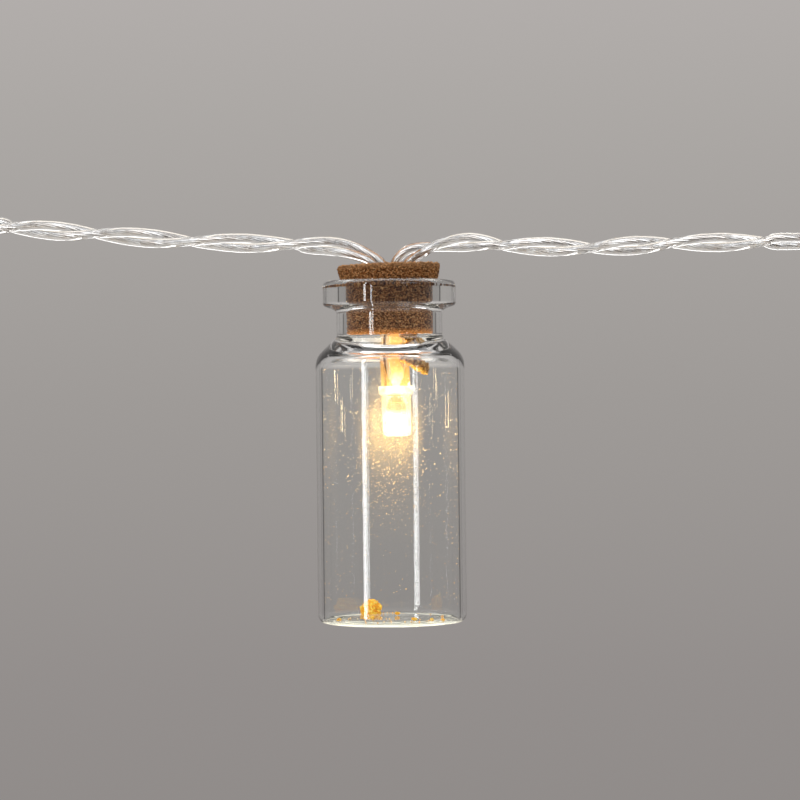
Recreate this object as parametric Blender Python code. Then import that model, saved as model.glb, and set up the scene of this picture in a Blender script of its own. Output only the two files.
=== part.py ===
# Fairy light jar: a corked glass vial with an LED in it, hung on a twisted pair of wires.
# Metres, +Z up. The origin is on the string's line above the middle of the cork.
# X runs along the string, and +Y runs away from the front.

import math

import bmesh
import bpy
from mathutils import Vector, noise

# Clearances
SEAT_GAP = 0.0003
FINE_GAP = 0.0001
CUT_PAST = 0.0010

# How the jar hangs
STRING_ABOVE_CORK = 0.0030
CORK_PROUD = 0.00223
CORK_TILT = math.radians(1.4)

# Glass vial
VIAL_HEIGHT = 0.0505
BODY_RADIUS = 0.0110
BODY_WALL = 0.00097
BORE_RADIUS = 0.00645
NECK_WALL = 0.00138
MOUTH_ROUNDING = 0.0010
RIM_RADIUS = 0.00983
RIM_SIDE = 0.00365
RIM_UNDERCUT = 0.0008
RIM_TOP_ROUNDING = 0.0009
RIM_LOW_ROUNDING = 0.0006
NECK_DEPTH = 0.00834
NECK_ROUNDING = 0.0010
SHOULDER_SLOPE = math.radians(42.2)
SHOULDER_ROUNDING = 0.0032
BORE_DEPTH = 0.01045
BORE_END_ROUNDING = 0.0008
INNER_SLOPE = math.radians(15.0)
INNER_ROUNDING = 0.0020
BASE_WALL = 0.0005
BASE_ROUNDING = 0.0018
FLOOR_ROUNDING = 0.0007
PUSH_UP = 0.0004
PUSH_UP_RADIUS = 0.0066
FOOT_INNER_RADIUS = 0.0080
FOOT_ROUNDING = 0.0004
DOME_ROUNDING = 0.0030

# Cork stopper
CORK_DEPTH = 0.00804
CORK_FLARE = 0.00095
CORK_EDGE_ROUNDING = 0.0003
MOUTH_CONTACT_SWEEP = math.radians(58)
WIRE_HOLE_RADIUS = 0.0027
WIRE_HOLE_DEPTH = 0.0030
WORN_EDGE = 0.0006
WORN_DEPTH = 0.0009

# Cork chip: its outline seen from the front, from the lamp's axis and the cork's underside
CHIP_OUTLINE = (
    (0.0020, 0.0), (0.0034, 0.0), (0.0038, -0.0019), (0.0054, -0.0038),
    (0.0052, -0.0060), (0.0034, -0.0049), (0.0016, -0.0028), (0.0017, -0.0012),
)
CHIP_THICKNESS = 0.0013
CHIP_EDGE = 0.0002
CHIP_FRONT = -0.0042
CHIP_TURN = math.radians(24)

# Lamp sleeve and cap
LAMP_OFFSET = 0.00043
SLEEVE_RADIUS = 0.00215
SLEEVE_WALL = 0.00035
SLEEVE_END = 0.0164
COLLAR_RADIUS = 0.00255
COLLAR_TOP = 0.01557
COLLAR_END = 0.01675
CAP_RADIUS = 0.00225
CAP_TIP_RADIUS = 0.0020
CAP_WALL = 0.00035
CAP_END = 0.02325
CAP_ROUNDING = 0.0003

# LED
LENS_RADIUS = 0.0015
LENS_FLANGE_RADIUS = 0.0017
LENS_FLANGE_HEIGHT = 0.0007
LENS_LENGTH = 0.0043
LENS_TOP = 0.0183
POCKET_RADIUS = 0.00125
POCKET_DEPTH = 0.0022
LEAD_WIDTH = 0.0005
LEAD_SPREAD = 0.0012
LEAD_STEP = 0.00075
LEAD_CROOK = 0.0015
LEAD_STRAIGHT = 0.0030
LEAD_JOG = 0.0015
CUP_RADIUS = 0.00045
CUP_HEIGHT = 0.0009
CUP_HOLLOW = 0.00028
CHIP_LIGHT_RADIUS = 0.0002
POST_END = 0.0012
INSULATION_WALL = 0.00012
INSULATION_TOP = 0.0122
INSULATION_LENGTH = 0.0036

# Wires
WIRE_RADIUS = 0.0007
CORE_RADIUS = 0.00025
TWIST_RADIUS = 0.00088
TAIL_END = 0.0021
TAIL_PACK = 0.00088
TAIL_STRAIGHT = 0.0003
SPLICE_RADIUS = 0.0006
SPLICE_LENGTH = 0.0030
SPLICE_TOP = 0.0053
SPLICE_ROW = 0.00085
CORE_PAIR = 0.0003
ROUTE_STEPS = 2

# Couplers at the two ends of the string
BOOT_LENGTH = 0.0065
BOOT_RADIUS = 0.0021
BOOT_FLARE = 0.0006
BOOT_GROOVES = 3
BOOT_GROOVE_DEPTH = 0.0003
BOOT_GROOVE_WIDTH = 0.0006
SPIGOT_RADIUS = 0.0015
SHELL_RADIUS = 0.0034
SHELL_WALL = 0.0008
SHELL_LENGTH = 0.0122
SHELL_BACK = 0.0010
SHELL_ROUNDING = 0.0006
EYE_RADIUS = 0.0019
EYE_THICKNESS = 0.0013
EYE_PLACE = 0.0062
EYE_SUNK = 0.00055
SOCKET_LENGTH = 0.0094
PLUG_LENGTH = 0.0045
POLE_SPACING = 0.0021
PIN_RADIUS = 0.00045
PIN_LENGTH = 0.0085
PIN_SUNK = 0.0030
CONTACT_WALL = 0.00018
CONTACT_LENGTH = 0.0065

# Crumbs on the vial's floor: place from the vial's axis in shares of the body's radius, and radius
LUMP_PLACE = (-0.309, 0.580)
LUMP_SIZE = (0.0032, 0.0024, 0.0021)
CRUMB_ROUGHNESS = 0.16
CRUMB_GRAIN = 4
CRUMBS = (
    (-0.700, -0.273, 0.00028), (-0.255, -0.455, 0.00024), (0.064, 0.164, 0.00032),
    (0.282, -0.600, 0.00034), (0.509, -0.527, 0.00030), (0.655, -0.382, 0.00026),
)

# Roundness
VIAL_SIDES = 36
ROUND_SIDES = 20
BOOT_SIDES = 16
SMALL_SIDES = 12
ARC_STEP = math.radians(20)

# Routes of the four wires, each from its foot in the cork to where the twisting starts
LEFT_BACK_FAN = (
    (-0.95, 0.62, -2.55), (-3.30, 0.70, -0.95), (-6.40, 0.52, 0.40), (-10.00, -0.32, 0.82),
)
LEFT_FRONT_FAN = (
    (-2.05, -0.62, -2.55), (-4.30, -0.70, -1.75), (-7.20, -0.36, -1.10), (-10.40, 0.40, -0.74),
)
RIGHT_FRONT_FAN = ((0.85, -0.62, -2.55), (2.20, -0.62, -1.05), (4.40, 0.34, -0.08))
RIGHT_BACK_FAN = ((2.05, 0.62, -2.55), (3.50, 0.55, -2.15), (5.00, -0.42, -1.50))
# Where the two wires of a pair cross, seen from the front, going outwards
LEFT_CROSSINGS = ((-13.68, 0.25), (-28.89, 0.82), (-43.06, 2.11), (-55.60, 3.20))
RIGHT_CROSSINGS = ((7.29, -0.34), (17.05, -0.22), (30.19, -0.73), (42.00, -0.12), (55.60, -0.05))
LEFT_STRING_END = (-61.80, 3.74)
RIGHT_STRING_END = (61.80, -0.05)
STRAIGHT_END = 1.4
ROUTE_UNIT = 0.001

# Sizes that follow from the ones above
INNER_RADIUS = BODY_RADIUS - BODY_WALL
NECK_RADIUS = BORE_RADIUS + NECK_WALL
RIM_DROP = STRING_ABOVE_CORK + CORK_PROUD
SHOULDER_DEPTH = NECK_DEPTH + (BODY_RADIUS - NECK_RADIUS) * math.tan(SHOULDER_SLOPE)
INNER_DEPTH = BORE_DEPTH + (INNER_RADIUS - BORE_RADIUS) * math.tan(INNER_SLOPE)
FLOOR_DEPTH = VIAL_HEIGHT - BASE_WALL
SLEEVE_BORE = SLEEVE_RADIUS - SLEEVE_WALL
LAMP_HOLE_RADIUS = SLEEVE_RADIUS + SEAT_GAP
SLEEVE_TOP = WIRE_HOLE_DEPTH + SEAT_GAP
CAP_SEAT = SLEEVE_END + FINE_GAP
LEAD_RADIUS = LEAD_WIDTH / math.sqrt(2)
LEAD_HALF = LEAD_WIDTH / 2
CONTACT_BORE = PIN_RADIUS + FINE_GAP
CONTACT_RADIUS = CONTACT_BORE + CONTACT_WALL
SHELL_START = BOOT_LENGTH + SEAT_GAP
INSERT_START = SHELL_START + SHELL_BACK + SEAT_GAP
INSERT_RADIUS = SHELL_RADIUS - SHELL_WALL - SEAT_GAP

UP = Vector((0, 0, 1))


# Materials
def material(name, color, roughness, metallic=0.0, transmission=0.0, glow=0.0):
    made = bpy.data.materials.new(name)
    made.use_nodes = True
    surface = made.node_tree.nodes["Principled BSDF"]
    surface.inputs["Base Color"].default_value = (*color, 1.0)
    surface.inputs["Roughness"].default_value = roughness
    surface.inputs["Metallic"].default_value = metallic
    surface.inputs["Transmission Weight"].default_value = transmission
    surface.inputs["Emission Color"].default_value = (*color, 1.0)
    surface.inputs["Emission Strength"].default_value = glow
    return made


def glass():
    return material("vial glass", (0.93, 0.96, 0.94), 0.02, transmission=1.0)


def cork():
    return material("cork", (0.36, 0.19, 0.09), 0.85)


def clear_plastic(name):
    return material(name, (0.95, 0.90, 0.80), 0.12, transmission=0.9)


def copper(name):
    return material(name, (0.78, 0.76, 0.72), 0.30, metallic=1.0)


# Outlines
def fillet(before, corner, after, radius):
    """The corner's arc, with its radius limited by the two edges that meet there."""
    to_before = Vector(before) - Vector(corner)
    to_after = Vector(after) - Vector(corner)
    half = to_before.angle(to_after) / 2
    reach = min(radius / math.tan(half), 0.48 * to_before.length, 0.48 * to_after.length)
    radius = reach * math.tan(half)
    middle = (to_before.normalized() + to_after.normalized()).normalized()
    centre = Vector(corner) + middle * radius / math.sin(half)
    start = Vector(corner) + to_before.normalized() * reach - centre
    end = Vector(corner) + to_after.normalized() * reach - centre
    turn = start.angle_signed(end)
    steps = max(1, round(abs(turn) / ARC_STEP))
    points = []
    for step in range(steps + 1):
        angle = -turn * step / steps
        across = start.x * math.cos(angle) - start.y * math.sin(angle)
        along = start.x * math.sin(angle) + start.y * math.cos(angle)
        points.append((centre.x + across, centre.y + along))
    return points


def rounded(corners, closed=False):
    """Points of an outline given as corners (radius, height) or (radius, height, rounding)."""
    points = []
    for index, corner in enumerate(corners):
        at_end = index in (0, len(corners) - 1) and not closed
        if len(corner) == 2 or at_end:
            points.append(corner[:2])
            continue
        before = corners[index - 1][:2]
        after = corners[(index + 1) % len(corners)][:2]
        points.extend(fillet(before, corner[:2], after, corner[2]))
    return points


def arc(centre, radius, start, end, steps=None):
    steps = steps or max(1, round(abs(end - start) / ARC_STEP))
    points = []
    for step in range(steps + 1):
        angle = start + (end - start) * step / steps
        points.append((centre[0] + radius * math.cos(angle), centre[1] + radius * math.sin(angle)))
    return points


# Building blocks
def place(made, surface, parent):
    if surface:
        made.data.materials.append(surface)
    made.parent = parent
    bpy.context.scene.collection.objects.link(made)
    return made


def finish_mesh(name, bm):
    bmesh.ops.remove_doubles(bm, verts=bm.verts, dist=0.000001)
    bmesh.ops.recalc_face_normals(bm, faces=bm.faces)
    mesh = bpy.data.meshes.new(name)
    bm.to_mesh(mesh)
    bm.free()
    mesh.shade_smooth()
    mesh.set_sharp_from_angle(angle=math.radians(35))
    return mesh


def turned(name, outline, surface, parent, closed=False, sides=ROUND_SIDES):
    """A solid of revolution about its own Z axis."""
    bm = bmesh.new()
    verts = [bm.verts.new((radius, 0, height)) for radius, height in outline]
    edges = [bm.edges.new(pair) for pair in zip(verts, verts[1:])]
    if closed:
        edges.append(bm.edges.new((verts[-1], verts[0])))
    bmesh.ops.spin(
        bm, geom=verts + edges, cent=(0, 0, 0), axis=UP, dvec=(0, 0, 0),
        angle=2 * math.pi, steps=sides, use_merge=True, use_duplicate=False,
    )
    return place(bpy.data.objects.new(name, finish_mesh(name, bm)), surface, parent)


def rod(name, radius, start, end, surface, parent, sides=SMALL_SIDES):
    outline = [(0, start), (radius, start), (radius, end), (0, end)]
    return turned(name, outline, surface, parent, sides=sides)


def tube(name, radius, bore, start, end, surface, parent, sides=SMALL_SIDES):
    outline = [(bore, start), (radius, start), (radius, end), (bore, end)]
    return turned(name, outline, surface, parent, closed=True, sides=sides)


def cutter(made):
    made.hide_render = True
    made.display_type = "WIRE"
    return made


def combine(made, other, operation):
    change = made.modifiers.new(operation.lower(), "BOOLEAN")
    change.operation = operation
    change.object = cutter(other)
    change.solver = "EXACT"


def wire(name, points, radius, surface, parent, resolution=2):
    """A round wire through the points, with flat ends. Resolution 0 makes it square."""
    curve = bpy.data.curves.new(name, "CURVE")
    curve.dimensions = "3D"
    curve.bevel_depth = radius
    curve.bevel_resolution = resolution
    curve.use_fill_caps = True
    spline = curve.splines.new("POLY")
    spline.points.add(len(points) - 1)
    for point, position in zip(spline.points, points):
        point.co = (*position, 1)
    return place(bpy.data.objects.new(name, curve), surface, parent)


def as_mesh(made):
    """The same object with a mesh in place of its curve, so that a Boolean can join to it."""
    surface = made.data.materials[0]
    name = made.name
    parent = made.parent
    bpy.context.view_layer.update()
    mesh = bpy.data.meshes.new_from_object(made)
    bpy.data.objects.remove(made)
    bm = bmesh.new()
    bm.from_mesh(mesh)
    bpy.data.meshes.remove(mesh)
    return place(bpy.data.objects.new(name, finish_mesh(name, bm)), surface, parent)


def empty(name, location=(0, 0, 0), rotation=(0, 0, 0), parent=None):
    made = bpy.data.objects.new(name, None)
    made.location = location
    made.rotation_euler = rotation
    return place(made, None, parent)


# Routes
def smooth_route(points, per_span):
    """A Catmull-Rom curve through the points."""
    ends = [2 * points[0] - points[1], *points, 2 * points[-1] - points[-2]]
    curve = []
    for before, start, end, after in zip(ends, ends[1:], ends[2:], ends[3:]):
        for step in range(per_span):
            t = step / per_span
            curve.append(
                0.5 * (
                    2 * start
                    + (end - before) * t
                    + (2 * before - 5 * start + 4 * end - after) * t * t
                    + (3 * start - before - 3 * end + after) * t * t * t
                )
            )
    return [*curve, points[-1]]


def twist_points(crossings, end, direction, phase):
    """One wire of a pair, from its first crossing outwards, four points to each full turn."""
    radius = TWIST_RADIUS / ROUTE_UNIT
    points = []
    centres = [*crossings, end]
    for index, (here, following) in enumerate(zip(centres, centres[1:])):
        last = index == len(crossings) - 1
        angle = phase + direction * index * math.pi
        points.append((here[0], -radius * math.cos(angle), here[1] + radius * math.sin(angle)))
        angle += direction * math.pi / 2
        across = end[0] - direction * STRAIGHT_END if last else (here[0] + following[0]) / 2
        height = end[1] if last else (here[1] + following[1]) / 2
        points.append((across, -radius * math.cos(angle), height + radius * math.sin(angle)))
    points.append((end[0], points[-1][1], points[-1][2]))
    return points


def route(fan, crossings, end, direction, phase):
    chosen = [*fan, *twist_points(crossings, end, direction, phase)]
    return smooth_route([Vector(point) * ROUTE_UNIT for point in chosen], ROUTE_STEPS)


# The vial
def vial_outline():
    dome = BASE_WALL + PUSH_UP
    return rounded((
        (0, -VIAL_HEIGHT + dome),
        (PUSH_UP_RADIUS - BASE_WALL, -VIAL_HEIGHT + dome, DOME_ROUNDING),
        (FOOT_INNER_RADIUS, -FLOOR_DEPTH, DOME_ROUNDING),
        (INNER_RADIUS, -FLOOR_DEPTH, FLOOR_ROUNDING),
        (INNER_RADIUS, -INNER_DEPTH, INNER_ROUNDING),
        (BORE_RADIUS, -BORE_DEPTH, BORE_END_ROUNDING),
        (BORE_RADIUS, 0, MOUTH_ROUNDING),
        (RIM_RADIUS, 0, RIM_TOP_ROUNDING),
        (RIM_RADIUS, -RIM_SIDE, RIM_LOW_ROUNDING),
        (NECK_RADIUS, -RIM_SIDE - RIM_UNDERCUT, RIM_LOW_ROUNDING),
        (NECK_RADIUS, -NECK_DEPTH, NECK_ROUNDING),
        (BODY_RADIUS, -SHOULDER_DEPTH, SHOULDER_ROUNDING),
        (BODY_RADIUS, -VIAL_HEIGHT, BASE_ROUNDING),
        (FOOT_INNER_RADIUS, -VIAL_HEIGHT, FOOT_ROUNDING),
        (PUSH_UP_RADIUS, -VIAL_HEIGHT + PUSH_UP, DOME_ROUNDING),
        (0, -VIAL_HEIGHT + PUSH_UP),
    ))


def floor_height(place_xy):
    """The vial's floor rises to a flat dome inside the foot."""
    dome_edge = PUSH_UP_RADIUS - BASE_WALL
    share = (math.hypot(*place_xy) - dome_edge) / (FOOT_INNER_RADIUS - dome_edge)
    return -VIAL_HEIGHT + BASE_WALL + PUSH_UP * (1 - min(max(share, 0), 1))


def crumb(name, share_xy, size, surface, parent, detail):
    """A rough lump that lies on the vial's floor."""
    place_xy = [share * BODY_RADIUS for share in share_xy]
    bm = bmesh.new()
    bmesh.ops.create_icosphere(bm, subdivisions=detail, radius=0.5)
    for vert in bm.verts:
        swell = 1 + CRUMB_ROUGHNESS * noise.noise(vert.co * CRUMB_GRAIN + Vector((*place_xy, 0)) / ROUTE_UNIT)
        vert.co = Vector((vert.co.x * size[0], vert.co.y * size[1], vert.co.z * size[2])) * swell
    lowest = min(vert.co.z for vert in bm.verts)
    made = place(bpy.data.objects.new(name, finish_mesh(name, bm)), surface, parent)
    made.location = (*place_xy, floor_height(place_xy) + SEAT_GAP - lowest)


def make_vial(vial_slide):
    turned("glass_vial", vial_outline(), glass(), vial_slide, sides=VIAL_SIDES)
    crumb_surface = material("cork crumb", (0.75, 0.42, 0.10), 0.8)
    crumb("cork_crumb_lump", LUMP_PLACE, LUMP_SIZE, crumb_surface, vial_slide, 2)
    for number, (across, deep, radius) in enumerate(CRUMBS, 1):
        size = (2 * radius, 2 * radius, 2 * radius)
        crumb(f"cork_crumb_{number}", (across, deep), size, crumb_surface, vial_slide, 1)


# The stopper
def cork_outline():
    bottom_radius = BORE_RADIUS - SEAT_GAP - CORK_DEPTH * math.sin(CORK_TILT)
    mouth_centre = (BORE_RADIUS + MOUTH_ROUNDING, -MOUTH_ROUNDING)
    contact = arc(mouth_centre, MOUTH_ROUNDING + SEAT_GAP, math.pi, math.pi - MOUTH_CONTACT_SWEEP)
    edge = rounded((
        (0, -CORK_DEPTH),
        (bottom_radius, -CORK_DEPTH, CORK_EDGE_ROUNDING),
        contact[0],
    ))
    top = rounded((
        contact[-1],
        (BORE_RADIUS + CORK_FLARE, CORK_PROUD, CORK_EDGE_ROUNDING),
        (0, CORK_PROUD),
    ))
    return [*edge, *contact[1:-1], *top]


def make_cork(stopper):
    body = turned("cork_stopper", cork_outline(), cork(), stopper, sides=VIAL_SIDES)
    wire_hole = [
        (0, -WIRE_HOLE_DEPTH),
        (WIRE_HOLE_RADIUS, -WIRE_HOLE_DEPTH),
        (WIRE_HOLE_RADIUS, CORK_PROUD - WORN_DEPTH),
        (WIRE_HOLE_RADIUS + WORN_EDGE, CORK_PROUD),
        (WIRE_HOLE_RADIUS + WORN_EDGE, CORK_PROUD + CUT_PAST),
        (0, CORK_PROUD + CUT_PAST),
    ]
    combine(body, turned("wire hole", wire_hole, None, stopper), "DIFFERENCE")
    lamp_hole = rod(
        "lamp hole", LAMP_HOLE_RADIUS, -CORK_DEPTH - CUT_PAST, -WIRE_HOLE_DEPTH + FINE_GAP, None, stopper,
        sides=ROUND_SIDES,
    )
    lamp_hole.location.x = LAMP_OFFSET
    combine(body, lamp_hole, "DIFFERENCE")


def make_chip(lamp):
    """The torn flake: its outline is drawn from the front, thickened, turned and roughened."""
    bm = bmesh.new()
    verts = [bm.verts.new((across, 0, height)) for across, height in CHIP_OUTLINE]
    face = bm.faces.new(verts)
    grown = bmesh.ops.extrude_face_region(bm, geom=[face])
    moved = [item for item in grown["geom"] if isinstance(item, bmesh.types.BMVert)]
    bmesh.ops.translate(bm, verts=moved, vec=(0, CHIP_THICKNESS, 0))
    bmesh.ops.recalc_face_normals(bm, faces=bm.faces)
    bmesh.ops.bevel(bm, geom=bm.edges[:], offset=CHIP_EDGE, segments=1, affect="EDGES")
    bmesh.ops.triangulate(bm, faces=bm.faces)
    made = place(bpy.data.objects.new("cork_chip", finish_mesh("cork_chip", bm)), cork(), lamp)
    made.location = (0, CHIP_FRONT, -CORK_DEPTH - SEAT_GAP)
    made.rotation_euler.z = CHIP_TURN


# The lamp
def make_sleeve(lamp):
    plastic = clear_plastic("clear sleeve")
    tube("lamp_sleeve", SLEEVE_RADIUS, SLEEVE_BORE, -SLEEVE_END, -SLEEVE_TOP, plastic, lamp, ROUND_SIDES)


def make_cap(lamp):
    seat = SLEEVE_RADIUS + FINE_GAP
    bore = CAP_RADIUS - CAP_WALL
    tip_bore = CAP_TIP_RADIUS - CAP_WALL
    outline = rounded((
        (0, -CAP_END + CAP_WALL),
        (tip_bore, -CAP_END + CAP_WALL, CAP_ROUNDING),
        (bore, -CAP_SEAT),
        (seat, -CAP_SEAT),
        (seat, -COLLAR_TOP),
        (COLLAR_RADIUS, -COLLAR_TOP, FINE_GAP),
        (COLLAR_RADIUS, -COLLAR_END, CAP_ROUNDING),
        (CAP_RADIUS, -COLLAR_END),
        (CAP_TIP_RADIUS, -CAP_END, CAP_ROUNDING),
        (0, -CAP_END),
    ))
    turned("lamp_cap", outline, clear_plastic("clear cap"), lamp)


def make_lens(lamp):
    """The LED's clear body, which points down and is hollow where its lead frame stands."""
    shoulder = LENS_TOP + LENS_LENGTH - LENS_RADIUS
    dome = arc((0, -shoulder), LENS_RADIUS, 0, -math.pi / 2)
    outline = [
        (0, -LENS_TOP - POCKET_DEPTH),
        (POCKET_RADIUS, -LENS_TOP - POCKET_DEPTH),
        (POCKET_RADIUS, -LENS_TOP),
        (LENS_FLANGE_RADIUS, -LENS_TOP),
        (LENS_FLANGE_RADIUS, -LENS_TOP - LENS_FLANGE_HEIGHT),
        (LENS_RADIUS, -LENS_TOP - LENS_FLANGE_HEIGHT),
        *dome[:-1],
        (0, -LENS_TOP - LENS_LENGTH),
    ]
    resin = material("clear resin", (1.0, 0.93, 0.78), 0.05, transmission=0.9)
    turned("led_lens", outline, resin, lamp)


def lead_route(side, end):
    """A lead from its splice: out to the sleeve's wall, down, and in to the lens."""
    row = side * SPLICE_ROW
    out = side * LEAD_SPREAD
    inside = side * LEAD_STEP
    start = SPLICE_TOP + SPLICE_LENGTH + FINE_GAP
    chosen = (
        (0, row, -start),
        (0, row, -start - LEAD_WIDTH),
        (out / 2, row / 2, -start - LEAD_CROOK),
        (out, 0, -start - LEAD_STRAIGHT),
        (out, 0, -LENS_TOP + LEAD_WIDTH + LEAD_JOG),
        (inside, 0, -LENS_TOP + LEAD_WIDTH),
        (inside, 0, -end),
    )
    return [Vector(point) for point in chosen]


def make_leads(lamp):
    cup_top = LENS_TOP + POCKET_DEPTH - FINE_GAP - CUP_HEIGHT
    frame_metal = copper("tinned steel lead")
    cathode = wire("led_cathode_lead", lead_route(-1, cup_top + FINE_GAP), LEAD_RADIUS, frame_metal, lamp, 0)
    cathode = as_mesh(cathode)
    cup_outline = [
        (0, -cup_top),
        (CUP_RADIUS, -cup_top),
        (CUP_RADIUS, -cup_top - CUP_HEIGHT),
        (CUP_RADIUS - FINE_GAP, -cup_top - CUP_HEIGHT),
        (CUP_HOLLOW / 2, -cup_top - CUP_HEIGHT + CUP_HOLLOW),
        (0, -cup_top - CUP_HEIGHT + CUP_HOLLOW),
    ]
    cup = turned("cathode cup", cup_outline, None, lamp, sides=SMALL_SIDES)
    cup.location.x = -LEAD_STEP + LEAD_HALF
    combine(cathode, cup, "UNION")
    wire("led_anode_lead", lead_route(1, LENS_TOP + POST_END), LEAD_RADIUS, frame_metal, lamp, 0)
    phosphor = material("phosphor", (1.0, 0.72, 0.30), 0.6, glow=30.0)
    light_top = cup_top + CUP_HEIGHT - CUP_HOLLOW + FINE_GAP / 2
    light = rod("led_chip", CHIP_LIGHT_RADIUS / 2, -light_top - FINE_GAP, -light_top, phosphor, lamp)
    light.location.x = cup.location.x


def make_insulation(lamp):
    bore = LEAD_RADIUS + FINE_GAP / 2
    sleeve = tube(
        "lead_insulation", bore + INSULATION_WALL, bore, -INSULATION_TOP - INSULATION_LENGTH,
        -INSULATION_TOP, material("white lead sleeve", (0.9, 0.85, 0.7), 0.5), lamp,
    )
    sleeve.location.x = LEAD_SPREAD


def make_splices(lamp):
    solder = copper("solder")
    for name, side in (("front_splice", -1), ("back_splice", 1)):
        joint = rod(name, SPLICE_RADIUS, -SPLICE_TOP - SPLICE_LENGTH, -SPLICE_TOP, solder, lamp)
        joint.location.y = side * SPLICE_ROW


# The wires
def make_string():
    plastic = clear_plastic("clear wire jacket")
    left = -1
    right = 1
    wires = (
        ("left_back_wire", LEFT_BACK_FAN, LEFT_CROSSINGS, LEFT_STRING_END, left, 0),
        ("left_front_wire", LEFT_FRONT_FAN, LEFT_CROSSINGS, LEFT_STRING_END, left, math.pi),
        ("right_front_wire", RIGHT_FRONT_FAN, RIGHT_CROSSINGS, RIGHT_STRING_END, right, math.pi),
        ("right_back_wire", RIGHT_BACK_FAN, RIGHT_CROSSINGS, RIGHT_STRING_END, right, 0),
    )
    for name, fan, crossings, end, direction, phase in wires:
        wire(name, route(fan, crossings, end, direction, phase), WIRE_RADIUS, plastic, None)


def make_tails(stopper):
    """The insulated wires inside the cork, each ending in a bare core that reaches its splice."""
    plastic = clear_plastic("clear tail jacket")
    metal = copper("tinned copper core")
    tails = (
        ("left_back", LEFT_BACK_FAN[0], (-1, 1), -1),
        ("left_front", LEFT_FRONT_FAN[0], (-1, -1), -1),
        ("right_front", RIGHT_FRONT_FAN[0], (1, -1), 1),
        ("right_back", RIGHT_BACK_FAN[0], (1, 1), 1),
    )
    for name, foot, quarter, side in tails:
        top = Vector((foot[0] * ROUTE_UNIT, foot[1] * ROUTE_UNIT, CORK_PROUD - SEAT_GAP))
        pack = Vector((quarter[0] * TAIL_PACK, quarter[1] * TAIL_PACK, -TAIL_END))
        level = Vector((pack.x, pack.y, pack.z + 2 * WIRE_RADIUS))
        straight = top - UP * TAIL_STRAIGHT
        wire(f"{name}_wire_tail", [top, straight, level, pack], WIRE_RADIUS, plastic, stopper)
        splice = Vector((LAMP_OFFSET + side * CORE_PAIR, quarter[1] * SPLICE_ROW, -SPLICE_TOP + FINE_GAP))
        start = pack - UP * FINE_GAP
        bend = start - UP * CORE_RADIUS
        above = splice + UP * 2 * CORE_RADIUS
        wire(f"{name}_bare_core", [start, bend, above, splice], CORE_RADIUS, metal, stopper)


# The couplers
def boot_outline():
    """A tapered boot with grooves round it and a spigot into the shell."""
    points = [(0, 0), (BOOT_RADIUS, 0)]
    pitch = BOOT_LENGTH / (BOOT_GROOVES + 1)
    for groove in range(1, BOOT_GROOVES + 1):
        middle = groove * pitch
        radius = BOOT_RADIUS + BOOT_FLARE * middle / BOOT_LENGTH
        half = BOOT_GROOVE_WIDTH / 2
        points.append((radius, middle - half))
        points.append((radius - BOOT_GROOVE_DEPTH, middle - half))
        points.append((radius - BOOT_GROOVE_DEPTH, middle + half))
        points.append((radius, middle + half))
    points.append((BOOT_RADIUS + BOOT_FLARE, BOOT_LENGTH))
    points.append((SPIGOT_RADIUS, BOOT_LENGTH))
    points.append((SPIGOT_RADIUS, SHELL_START + SHELL_BACK))
    points.append((0, SHELL_START + SHELL_BACK))
    return points


def shell_outline():
    bore = SHELL_RADIUS - SHELL_WALL
    hole = SPIGOT_RADIUS + SEAT_GAP
    end = SHELL_START + SHELL_LENGTH
    return rounded((
        (hole, SHELL_START),
        (SHELL_RADIUS, SHELL_START, SHELL_ROUNDING),
        (SHELL_RADIUS, end),
        (bore, end),
        (bore, SHELL_START + SHELL_BACK),
        (hole, SHELL_START + SHELL_BACK),
    ), closed=True)


def ring(name, radius, wire_radius, parent):
    """A round bar bent into a ring about its own Z axis."""
    bar = arc((radius, 0), wire_radius, 0, 2 * math.pi, 8)[:-1]
    return turned(name, bar, None, parent, closed=True, sides=BOOT_SIDES)


def make_shell(side, coupler, plastic):
    shell = turned(f"{side}_coupler_shell", shell_outline(), plastic, coupler, closed=True)
    wall = EYE_THICKNESS / 2
    eye = ring(f"{side} eye", EYE_RADIUS, wall, coupler)
    eye.rotation_euler.x = math.pi / 2
    eye.location = (SHELL_RADIUS + EYE_RADIUS + wall - EYE_SUNK, 0, SHELL_START + EYE_PLACE)
    combine(shell, eye, "UNION")


def pole_places():
    return ((1, POLE_SPACING / 2), (2, -POLE_SPACING / 2))


def make_insert(name, length, hole_radius, hole_start, coupler, plastic):
    """The block in the shell that holds the two poles."""
    block = rod(name, INSERT_RADIUS, INSERT_START, INSERT_START + length, plastic, coupler, ROUND_SIDES)
    for number, across in pole_places():
        end = INSERT_START + length + CUT_PAST
        hole = rod(f"{name} hole {number}", hole_radius, hole_start, end, None, coupler)
        hole.location.x = across
        combine(block, hole, "DIFFERENCE")


def make_socket(side, coupler, plastic, metal):
    back = INSERT_START + SOCKET_LENGTH - CONTACT_LENGTH - FINE_GAP
    make_insert(f"{side}_socket_insert", SOCKET_LENGTH, CONTACT_RADIUS + FINE_GAP, back, coupler, plastic)
    for number, across in pole_places():
        start = back + FINE_GAP
        end = start + CONTACT_LENGTH - FINE_GAP
        name = f"{side}_socket_contact_{number}"
        contact = tube(name, CONTACT_RADIUS, CONTACT_BORE, start, end, metal, coupler)
        contact.location.x = across


def make_plug(side, coupler, plastic, metal):
    back = INSERT_START + PLUG_LENGTH - PIN_SUNK
    make_insert(f"{side}_plug_insert", PLUG_LENGTH, PIN_RADIUS + FINE_GAP, back, coupler, plastic)
    for number, across in pole_places():
        start = back + FINE_GAP
        pin = rod(f"{side}_plug_pin_{number}", PIN_RADIUS, start, start + PIN_LENGTH, metal, coupler)
        pin.location.x = across


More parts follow.
